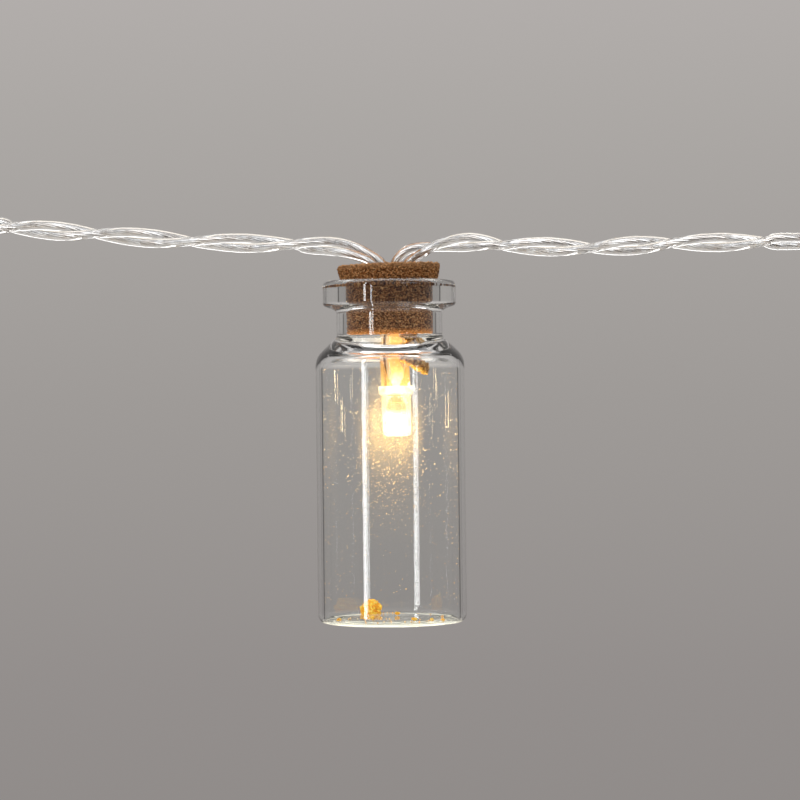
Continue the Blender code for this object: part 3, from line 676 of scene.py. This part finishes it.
bpy.ops.object.shade_smooth_by_angle(angle=math.radians(60))
flake.rotation_euler.z = math.radians(chip["turn"])
flake.location = Vector((0, chip["front"], -cork["deep"])) * mm
bpy.ops.object.transform_apply(location=True, rotation=True, scale=True)
settle(flake, shift=(chip["side"], 0, 0), lean=cork["tilt"], lift=rimLevel)
dress(flake, corkTorn, "jar", "cork", "cork_chip")


print("lamp")
lamp = {"side": 0.43, "lead": -1.42}


# the tone at each height in millimetres, mottled by a streaky grain and with uneven edges
def innerLight(nodes, links, main, stops, mottle, stretch, shade=None, uneven=0.18):
    low, high = stops[0][0], stops[-1][0]
    shift = uneven / (high - low)
    wander = span(nodes, links, grain(nodes, links, 900, 3), 0.3, 0.7, -shift, shift)
    rise = combine(nodes, links, "ADD", heightOf(nodes, links, low, high), wander)
    light = ramp(nodes, links, rise, [((level - low) / (high - low), tone) for level, tone in stops])
    cloud = grain(nodes, links, 1400, 4, 0.6, stretch)
    spots = span(nodes, links, cloud, 0.35, 0.65, 1 - mottle, 1 + mottle)
    if shade is not None:  # the lead stands before the light along this line of the leaning lamp
        lean = math.radians(cork["tilt"])
        across = along(nodes, links, (math.cos(lean), 0, math.sin(lean)))
        off = combine(nodes, links, "SUBTRACT", across, (shade + rimLevel * math.sin(lean)) * mm)
        line = span(nodes, links, combine(nodes, links, "ABSOLUTE", off), 0.12 * mm, 0.24 * mm, 0.12, 1)
        spots = combine(nodes, links, "MULTIPLY", spots, line)
    links.new(dimmed(nodes, links, light, spots), main.inputs["Emission Color"])


# clear plastic that glows from within
def lampPlastic(name, color, strength, stops, mottle=0.0, shade=None):
    surface, nodes, links, main = newSurface(name, color, 0.06)
    main.inputs["Transmission Weight"].default_value = 1
    main.inputs["IOR"].default_value = 1.45
    bump(nodes, links, main, grain(nodes, links, 900, 2), 0.2, 0.0001)
    innerLight(nodes, links, main, stops, mottle, (1, 1, 0.5), shade)
    main.inputs["Emission Strength"].default_value = strength
    seeThrough(nodes, links, main, (0.97, 0.95, 0.9))
    return surface


# opaque resin or insulation, lit from inside
def glowSurface(name, color, strength, stops, mottle):
    surface, nodes, links, main = newSurface(name, color, 0.4)
    innerLight(nodes, links, main, stops, mottle, (1, 1, 1))
    main.inputs["Emission Strength"].default_value = strength
    seeThrough(nodes, links, main, (1, 1, 1))
    return surface


sleeveGlow = lampPlastic("glowing sleeve", (1.0, 0.95, 0.85), 1, [
    (-22.5, (0.50, 0.32, 0.10)), (-20.4, (0.42, 0.26, 0.08)), (-18.4, (0.20, 0.11, 0.03)),
    (-15.0, (0.10, 0.05, 0.015)), (-8.0, (0.01, 0.004, 0.0)),
], 0.2, lamp["side"] + lamp["lead"])
capGlow = lampPlastic("glowing cap", (1.0, 0.96, 0.88), 3, [
    (-28.4, (0.16, 0.120, 0.066)), (-27.2, (0.25, 0.205, 0.135)), (-26.0, (0.17, 0.125, 0.066)),
    (-25.0, (0.10, 0.066, 0.027)), (-24.1, (0.030, 0.017, 0.005)), (-22.2, (0.018, 0.010, 0.003)),
    (-21.9, (0.15, 0.120, 0.072)), (-20.6, (0.20, 0.165, 0.105)),
], 0.4)
lensGlow = glowSurface("glowing lens", (0.6, 0.5, 0.4), 3.5, [
    (-28.0, (0.60, 0.52, 0.37)), (-25.0, (0.60, 0.52, 0.37)), (-24.3, (0.16, 0.100, 0.032)),
    (-23.3, (0.14, 0.082, 0.024)),
], 0.25)
insulationGlow = glowSurface("glowing lead sleeve", (0.3, 0.2, 0.1), 5, [
    (-24.0, (0.14, 0.092, 0.030)), (-22.0, (0.14, 0.092, 0.030)), (-21.5, (0.60, 0.48, 0.30)),
    (-20.0, (0.50, 0.41, 0.23)), (-18.4, (0.22, 0.150, 0.050)), (-16.6, (0.18, 0.092, 0.018)),
    (-14.7, (0.17, 0.074, 0.010)), (-12.5, (0.13, 0.050, 0.007)),
], 0.22)


def inLamp(piece):
    return settle(piece, shift=(lamp["side"], 0, 0), lean=cork["tilt"], lift=rimLevel)


sleevePlan = {"line": [(1.80, -16.4), (1.80, -3.3), (2.15, -3.3, 0.1), (2.15, -16.4, 0.1)], "sides": 64}
sleeve = inLamp(lathe("lampSleeve", roundedLine(sleevePlan["line"]), sleevePlan["sides"], closed=True))
dress(sleeve, sleeveGlow, "jar", "clear_plastic", "lamp_sleeve")

capPlan = {
    "line": [
        (0, -22.7), (1.65, -22.7, 0.3), (1.90, -16.5), (2.2, -16.5), (2.2, -15.57), (2.55, -15.57, 0.3),
        (2.55, -16.75, 0.5), (2.25, -16.9, 0.3), (2.0, -23.0, 0.6), (0, -23.0),
    ],
    "sides": 64,
}
cap = inLamp(lathe("lampCap", roundedLine(capPlan["line"]), capPlan["sides"]))
dress(cap, capGlow, "jar", "clear_plastic", "lamp_cap")

lensPlan = {
    "line": [
        (0, -18.3), (1.66, -18.3, 0.12), (1.66, -19.0, 0.12), (1.6, -19.05), (1.6, -22.6, 1.3), (0, -22.6),
    ],
    "sides": 48,
}
lens = inLamp(lathe("ledLens", roundedLine(lensPlan["line"]), lensPlan["sides"]))
dress(lens, lensGlow, "jar", "led_resin", "led_lens", "led_chip")

plugPlan = {
    "line": [
        (0, -18.2), (1.55, -18.2, 0.2), (1.55, -16.4, 0.6), (1.42, -15.3, 0.8), (1.0, -13.2, 1.5),
        (0.9, -10.5, 1.0), (0.9, -5.0), (0, -5.0),
    ],
    "step": 0.3, "sides": 48, "slim": 0.15, "swell": 0.45, "swellFrom": 10.5, "swellOver": 2.7,
    "endFrom": 15.3, "endOver": 1.2,
}
plug = lathe("leadInsulation", evenLine(roundedLine(plugPlan["line"]), plugPlan["step"]), plugPlan["sides"])
for vertex in plug.data.vertices:  # its left side runs straight down and its right side swells
    depth = -vertex.co.z / mm
    swell = min(max((depth - plugPlan["swellFrom"]) / plugPlan["swellOver"], 0), 1)
    gone = min(max((depth - plugPlan["endFrom"]) / plugPlan["endOver"], 0), 1)
    vertex.co.x += (plugPlan["swell"] * swell * (1 - gone) - plugPlan["slim"] * (1 - swell)) * mm
inLamp(plug)
dress(plug, insulationGlow, "jar", "white_plastic", "lead_insulation")

leadPlan = {
    "line": [
        (-0.4, -0.85, -8.4), (-0.9, -0.6, -9.2), (lamp["lead"], -0.2, -10.0), (lamp["lead"], 0, -17.0),
        (-0.75, 0, -18.3), (-0.75, 0, -19.5),
    ],
    "between": 6, "across": 0.34, "sides": 2,
}
leadLine = throughPoints(leadPlan["line"], leadPlan["between"])
lead = inLamp(tubeAlong("cathodeLead", [leadLine], leadPlan["across"], leadPlan["sides"]))
dress(lead, darkLead, "jar", "tinned_metal", "led_cathode_lead")


print("crumbs and dust")
crumbs = [  # place, then width, depth and height, the lump first
    (-3.4, 6.38, 1.55, 1.15, 1.30), (-7.7, -3.0, 0.32, 0.25, 0.19), (-2.8, -5.0, 0.24, 0.22, 0.15),
    (0.7, 1.8, 0.38, 0.26, 0.18), (3.1, -6.6, 0.40, 0.28, 0.20), (5.6, -5.8, 0.26, 0.30, 0.22),
    (7.2, -4.2, 0.30, 0.22, 0.16),
]
# shape and grain are each a size and a depth, and the lump is cut flat at a share of its depth
lumpLook = {"cuts": 6, "shape": (0.62, 0.85), "grain": (0.22, 0.36), "lean": 0.38, "flatBelow": 0.62}
crumbLook = {"cuts": 4, "shape": (0.25, 0.28), "grain": (0.10, 0.18)}
floorGap = 0.05


def floorLevel(x, y):
    share = (math.hypot(x, y) - vial["domeTop"]) / (vial["domeSide"] - vial["domeTop"])
    return rimLevel + floorLine + vial["dome"] * (1 - min(max(share, 0), 1))


for number, (x, y, wide, deep, high) in enumerate(crumbs):
    startFresh()
    lump = number == 0
    look = lumpLook if lump else crumbLook
    bpy.ops.mesh.primitive_ico_sphere_add(subdivisions=look["cuts"], radius=mm, location=(0, 0, 0))
    crumb = bpy.context.object
    crumb.name = crumb.data.name = "crumbLump" if lump else f"crumb{number}"
    crumb.scale = (wide, deep, high)
    bpy.ops.object.transform_apply(location=True, rotation=True, scale=True)
    if lump:  # low on its left and high on its right
        for vertex in crumb.data.vertices:
            vertex.co.z *= 1 + look["lean"] * vertex.co.x / (wide * mm)
    roughen(crumb, f"crumb shape {number}", "VORONOI", *look["shape"])
    roughen(crumb, f"crumb grain {number}", "CLOUDS", *look["grain"], 3)
    lowest = -look["flatBelow"] * high * mm if lump else min(vertex.co.z for vertex in crumb.data.vertices)
    for vertex in crumb.data.vertices:  # it lies on the glass with a flat side
        vertex.co.z = max(vertex.co.z, lowest)
    settle(crumb, shift=(x, y, floorLevel(x, y) - lowest / mm + floorGap))
    dress(crumb, crumbSurface, "vial", "crumbs", "cork_crumb_lump" if lump else f"cork_crumb_{number}")


# most of the flakes are on the wall before and behind the lamp, and the others anywhere round it
dust = {
    "flakes": 1000, "around": 420, "level": -31.0, "spread": 5.5, "turnSpread": 0.33, "aroundFrom": -53,
    "aroundTo": -18, "lowest": -53.2, "highest": -17.5, "size": (0.030, 0.075), "bigger": 1.6,
    "biggerShare": 0.06, "gap": 0.05, "fallEach": 30, "fallSize": (0.09, 0.17), "fallWithin": 9.0,
}


def onWall(angle, level, out):
    return Vector((out * math.sin(angle), -out * math.cos(angle), level))


startFresh()
bpy.ops.mesh.primitive_ico_sphere_add(subdivisions=1, radius=mm)
flakes = bpy.context.object
flakes.name = flakes.data.name = "corkDust"
flakeSpots = [vertex.co / mm for vertex in flakes.data.vertices]
flakeFaces = [tuple(face.vertices) for face in flakes.data.polygons]
dustSpots, dustFaces = [], []
for number in range(dust["flakes"] + dust["around"]):
    if number < dust["flakes"]:
        angle = dice.gauss(0, dust["turnSpread"]) + (math.pi if dice.random() < 0.5 else 0)
        level = dice.gauss(dust["level"], dust["spread"])
    else:
        angle = dice.uniform(0, tau)
        level = dice.uniform(dust["aroundFrom"], dust["aroundTo"])
    size = dice.uniform(*dust["size"]) * (dust["bigger"] if dice.random() < dust["biggerShare"] else 1)
    level = min(max(level, dust["lowest"]), dust["highest"])
    middle = onWall(angle, level, innerRadius - dust["gap"] - size)
    if number % dust["fallEach"] == 0:  # some have fallen to the floor
        size = dice.uniform(*dust["fallSize"])
        middle = onWall(angle, 0, dust["fallWithin"] * math.sqrt(dice.uniform(0.3, 1)))
        middle.z = floorLevel(middle.x, middle.y) + size * 0.8 + floorGap
    squeeze = [size * dice.uniform(0.8, 1.15) for _ in range(3)]
    first = len(dustSpots)
    for spot in flakeSpots:
        dustSpots.append((middle + Vector([part * by for part, by in zip(spot, squeeze)])) * mm)
    dustFaces.extend(tuple(first + corner for corner in face) for face in flakeFaces)
flakes.data.clear_geometry()
flakes.data.from_pydata(dustSpots, [], dustFaces)
speckSurface, nodes, links, main = newSurface("lit dust", (0.85, 0.55, 0.28), 0.9)
tones = cells(nodes, links, 3000)
toneParts = nodes.new("ShaderNodeSeparateColor")
links.new(tones.outputs["Color"], toneParts.inputs["Color"])
speckTone = ramp(nodes, links, toneParts.outputs["Red"], [
    (0.0, (0.80, 0.50, 0.20)), (1.0, (1.0, 0.88, 0.62)),
])
links.new(speckTone, main.inputs["Base Color"])
caught = ramp(nodes, links, heightOf(nodes, links, -54, -18), [  # light caught, strongest under the lamp
    (0.0, (0.10, 0.06, 0.02)), (0.45, (0.22, 0.15, 0.07)), (0.68, (1.0, 0.78, 0.42)),
    (1.0, (0.60, 0.50, 0.34)),
])
links.new(dimmed(nodes, links, caught, toneParts.outputs["Green"]), main.inputs["Emission Color"])
main.inputs["Emission Strength"].default_value = 4.5
through = nodes.new("ShaderNodeBsdfTranslucent")
links.new(speckTone, through.inputs["Color"])
lit = mixOf(nodes, links, 0.5, main.outputs["BSDF"], through.outputs["BSDF"])
links.new(lit, nodes["Material Output"].inputs["Surface"])
dress(flakes, speckSurface, "vial", "crumbs")

# powder on the wall, partly real dust and partly a painted halo of the lamp's glow: thickest at the level of
# the lamp's end and gone at the sides
powderAndHalo = {
    "gaps": (0.02, 0.04), "top": -17.5, "foot": -50.0, "sides": 96, "tone": (1.0, 0.86, 0.60),
    "fullWithin": 2.0, "goneFrom": 4.9,
}
back, face = (innerRadius - gap for gap in powderAndHalo["gaps"])
top, foot = powderAndHalo["top"], powderAndHalo["foot"]
filmLine = [(back, top), (back, foot), (face, foot), (face, top)]
film = lathe("dustAndHaloFilm", filmLine, powderAndHalo["sides"], closed=True)
filmSurface, nodes, links, main = newSurface("dust and halo film", powderAndHalo["tone"], 0.9)
aside = combine(nodes, links, "ABSOLUTE", axesOf(nodes, links)["X"])
# painted halo: the film is kept to the lamp's column and heights, where its glow spreads
near = span(nodes, links, aside, powderAndHalo["fullWithin"] * mm, powderAndHalo["goneFrom"] * mm, 1, 0)
levels = ramp(nodes, links, heightOf(nodes, links, -45, -17), grays(
    (0.0, 0), (0.35, 0.08), (0.5, 0.35), (0.60, 0.9), (0.68, 0.85), (0.78, 0.3), (0.90, 0),
))
softPowder = span(nodes, links, grain(nodes, links, 900, 3, 0.7), 0.35, 0.70, 0.05, 0.32)
brightSpecks = span(nodes, links, grain(nodes, links, 6500, 1, 0.5), 0.62, 0.72, 0, 0.9)
powder = combine(nodes, links, "MAXIMUM", softPowder, brightSpecks)
cover = combine(nodes, links, "MULTIPLY", combine(nodes, links, "MULTIPLY", near, levels), powder)
through = nodes.new("ShaderNodeBsdfTranslucent")
through.inputs["Color"].default_value = (*powderAndHalo["tone"], 1)
lit = mixOf(nodes, links, 0.5, main.outputs["BSDF"], through.outputs["BSDF"])
pane = nodes.new("ShaderNodeBsdfTransparent")
veil = mixOf(nodes, links, cover, pane.outputs["BSDF"], lit)
links.new(veil, nodes["Material Output"].inputs["Surface"])
dress(film, filmSurface, "vial", "crumbs")


print("couplers")  # what stays as the part's own solids gets its finish
plainFinish = {
    "splice": solder, "core": tinned, "contact": solder, "pin": solder, "lead": solder, "tail": softClear,
    "boot": paleBoot, "shell": softClear, "insert": whiteBlock,
}
for nodeName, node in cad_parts.items():
    if node.hide_render:
        continue
    for word, surface in plainFinish.items():
        if word in nodeName:
            node.data.materials.clear()
            node.data.materials.append(surface)


print("light")
sky = bpy.data.worlds.new("studio wall")
bpy.context.scene.world = sky
sky.use_nodes = True
nodes, links = sky.node_tree.nodes, sky.node_tree.links
ahead = axesOf(nodes, links, "Generated")
wallTone = ramp(nodes, links, span(nodes, links, ahead["Z"], -1, 1), [
    (0.00, (0.42, 0.39, 0.37)), (0.40, (0.270, 0.252, 0.243)), (0.452, (0.300, 0.279, 0.271)),
    (0.50, (0.352, 0.332, 0.319)), (0.551, (0.423, 0.402, 0.386)), (0.590, (0.485, 0.456, 0.445)),
    (1.0, (0.62, 0.60, 0.58)),
])
wall = nodes["Background"]
links.new(wallTone, wall.inputs["Color"])
# level with the jar the wall ends at both sides in a dark gap, and the room in front is dimmer
sideways = ramp(nodes, links, span(nodes, links, ahead["Y"], -1, 1), grays(
    (0.0, 0.40), (0.50, 0.58), (0.72, 0.74), (0.86, 0.76), (0.868, 0.18), (0.882, 0.18), (0.896, 0.93),
    (0.965, 0.97), (0.985, 0.98),
))
slope = combine(nodes, links, "ABSOLUTE", ahead["Z"])
steep = span(nodes, links, slope, 0.085, 0.19, 0, 0.95)  # above and below that it is light all round
links.new(combine(nodes, links, "MAXIMUM", sideways, steep), wall.inputs["Strength"])
fillLight = nodes.new("ShaderNodeBackground")
fillLight.inputs["Color"].default_value = (0.80, 0.79, 0.78, 1)
fillLight.inputs["Strength"].default_value = 0.35
ray = nodes.new("ShaderNodeLightPath").outputs
seen = combine(nodes, links, "MAXIMUM", ray["Is Camera Ray"], ray["Is Glossy Ray"])
seen = combine(nodes, links, "MAXIMUM", seen, ray["Is Transmission Ray"])
sight = mixOf(nodes, links, seen, fillLight.outputs["Background"], wall.outputs["Background"])
links.new(sight, nodes["World Output"].inputs["Surface"])

floorPlan = {"radius": 240, "level": -130, "sides": 96}
startFresh()
bpy.ops.mesh.primitive_circle_add(
    vertices=floorPlan["sides"], radius=floorPlan["radius"] * mm, fill_type="NGON",
    location=(0, 0, floorPlan["level"] * mm),
)
floor = bpy.context.object
floor.name = "floor"
floorSurface, nodes, links, main = newSurface("studio floor", (0.82, 0.76, 0.68), 0.7)
speckle = grain(nodes, links, 400, 4)
floorTone = ramp(nodes, links, speckle, [(0.3, (0.80, 0.74, 0.66)), (0.7, (0.84, 0.78, 0.70))])
links.new(floorTone, main.inputs["Base Color"])
floor.data.materials.append(floorSurface)


# a soft box: glow is the brightness of its face
def panel(name, spot, target, wide, tall, glow, color=(1, 1, 1)):
    startFresh()
    bpy.ops.object.light_add(type="AREA", location=Vector(spot))
    box = bpy.context.object
    box.name = name
    box.data.shape = "RECTANGLE"
    box.data.size, box.data.size_y = wide, tall
    box.data.energy = glow * math.pi * wide * tall
    box.data.color = color
    box.visible_camera = False
    box.rotation_euler = (Vector(target) - Vector(spot)).to_track_quat("-Z", "Y").to_euler()


jarMiddle = (0, 0, -0.02)
panel("overhead", (0, 0.05, 0.52), jarMiddle, 1.2, 0.45, 3.0)
panel("left strip", (-0.465, -0.523, 0.10), (0, 0, 0.10), 0.055, 0.60, 14)
panel("right strip", (0.465, -0.523, -0.056), (0, 0, -0.056), 0.032, 0.093, 9)
panel("front fill", (0.55, -0.75, 0.45), jarMiddle, 0.5, 0.5, 1.2)
nextLamps = [  # degrees round from the view's direction, level, width and height in millimetres, glow
    (-89, -20.3, 3, 6.0, 55), (-103, -26.3, 3, 6.0, 50), (107, -19.9, 3, 5.2, 24), (82, -25.1, 3.5, 7.0, 20),
]
lampsAway = 150
for number, (degrees, level, wide, tall, glow) in enumerate(nextLamps):
    turn = math.radians(degrees)
    spot = Vector((lampsAway * math.sin(turn), lampsAway * math.cos(turn), level)) * mm
    panel(f"next lamp {number}", spot, (0, 0, level * mm), wide * mm, tall * mm, glow, (1, 0.76, 0.42))


def ledLight(name, spot, watts):
    startFresh()
    bpy.ops.object.light_add(type="POINT", location=Vector(spot) * mm)
    bulb = bpy.context.object
    bulb.name = name
    bulb.data.energy = watts
    bulb.data.color = (1.0, 0.70, 0.32)
    bulb.data.shadow_soft_size = 1.2 * mm
    bulb.visible_camera = bulb.visible_glossy = bulb.visible_transmission = False


ledLight("lamp light", (1.1, 0, -26.0), 0.0155)
ledLight("lamp back light", (0.9, 0, -19.5), 0.005)

scene = bpy.context.scene
scene.view_settings.view_transform = "Standard"
scene.cycles.transmission_bounces = 24
scene.cycles.max_bounces = 24
scene.cycles.transparent_max_bounces = 32
scene.cycles.caustics_reflective = False
scene.cycles.caustics_refractive = False

print("done")
